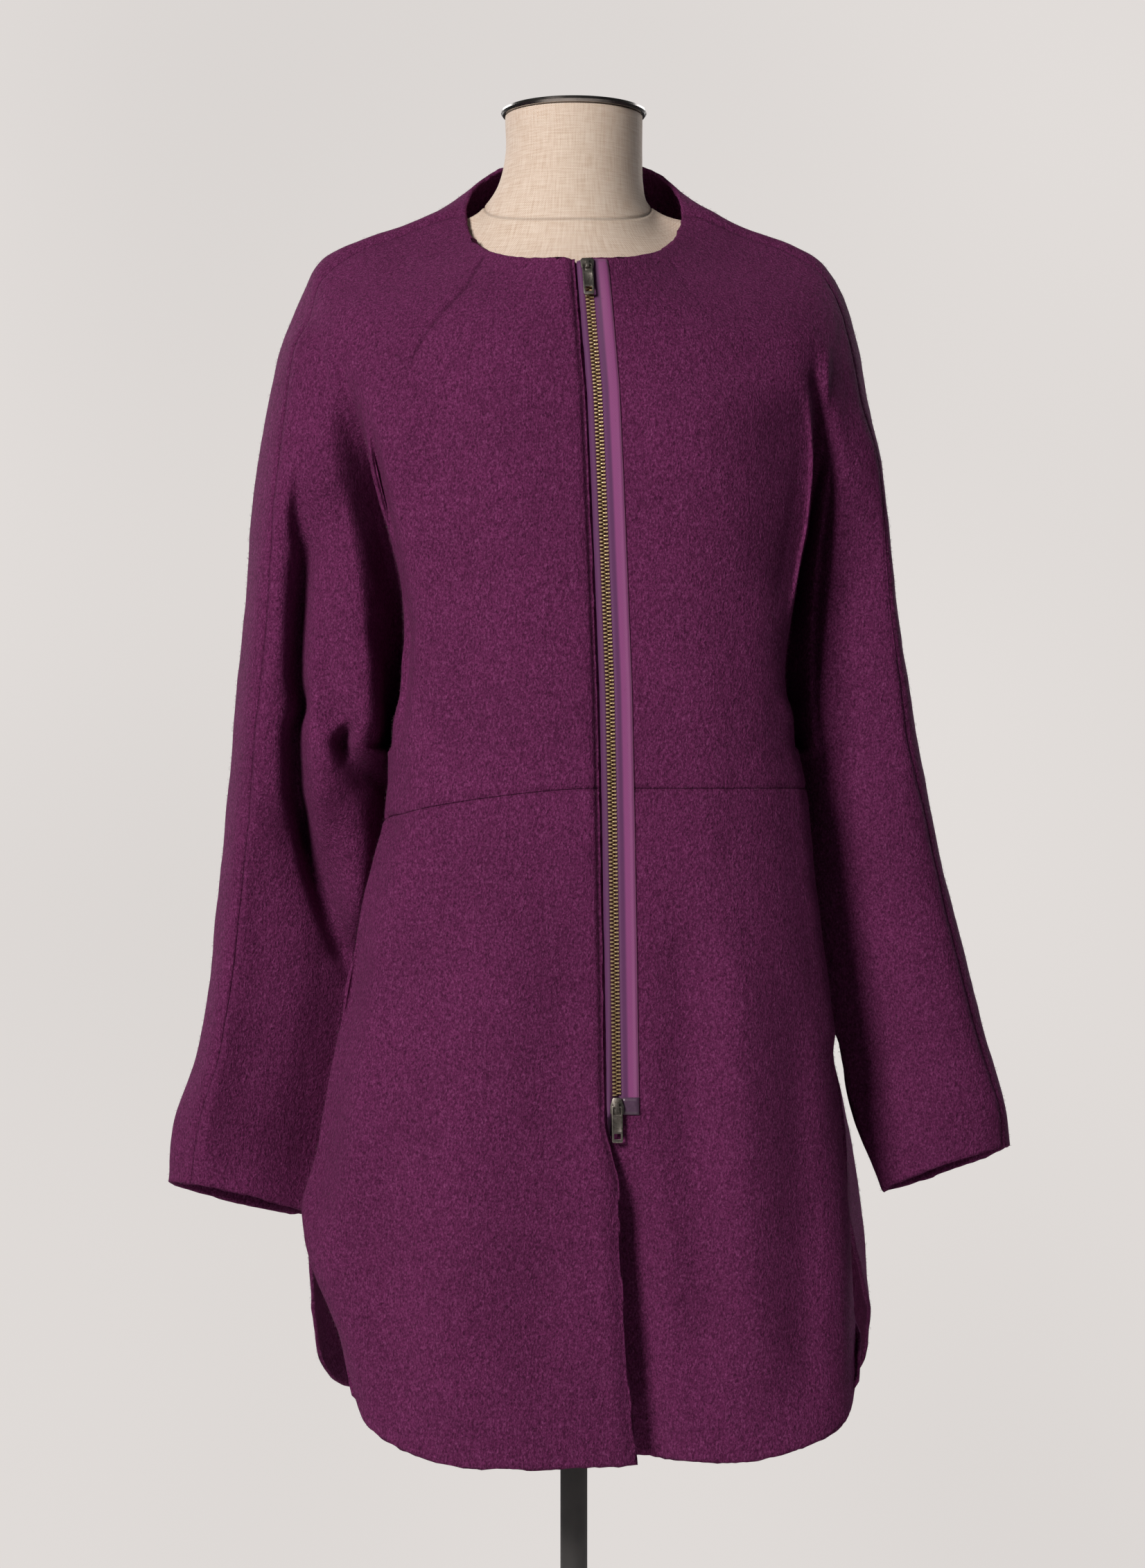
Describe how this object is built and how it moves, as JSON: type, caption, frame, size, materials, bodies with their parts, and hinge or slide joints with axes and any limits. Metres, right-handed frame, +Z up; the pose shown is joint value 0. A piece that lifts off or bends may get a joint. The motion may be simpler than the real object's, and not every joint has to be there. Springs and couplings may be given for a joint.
{
  "type": "zip-front wool coat on a limbless dress form with stand",
  "caption": "A-line boiled-wool coat with cut-on dolman sleeves, funnel neck, two-way zip and side slits, shown on a linen dress form with a pole and round base.",
  "frame": {"origin": "centre of the underside of the stand's round base", "axes": "+Z up, +X to the viewer's right (wearer's left), the coat's front faces -Y"},
  "size_m": [0.617, 0.36, 1.4751],
  "materials": {
    "boiled_wool": "matte purple boiled wool with a curly nap",
    "zip_tape": "lilac herringbone zip tape",
    "brass_teeth": "antique brass zip teeth",
    "gunmetal": "dark plated zinc",
    "linen": "plain natural linen cover",
    "dark_chrome": "polished dark chrome",
    "black_paint": "satin black paint on steel"
  },
  "bodies": {
    "coat_and_form": {"front_right": "boiled_wool", "front_left": "boiled_wool", "skirt_right": "boiled_wool", "skirt_left": "boiled_wool", "back_right": "boiled_wool", "back_left": "boiled_wool", "pocket_facing_right": "boiled_wool", "pocket_facing_left": "boiled_wool", "zip_tape_right": "zip_tape", "zip_tape_left": "zip_tape", "zip_chain": "brass_teeth", "slider_top": "gunmetal", "slider_bottom": "gunmetal", "form_torso": "linen", "neck_cap": "dark_chrome", "pole": "black_paint", "base": "black_paint"},
    "top_pull": {"pull_top": "gunmetal"},
    "bottom_pull": {"pull_bottom": "gunmetal"}
  },
  "joints": [
    {"name": "top_pull_hinge", "type": "hinge", "parent": "coat_and_form", "child": "top_pull", "pos_m": [0.00949, -0.10808, 1.34121], "axis": [-0.9986, -0.0206, -0.0481], "range_deg": [0, 150]},
    {"name": "bottom_pull_hinge", "type": "hinge", "parent": "coat_and_form", "child": "bottom_pull", "pos_m": [0.02991, -0.15138, 0.7489], "axis": [-0.9999, 0.0002, -0.0153], "range_deg": [0, 150]}
  ]
}
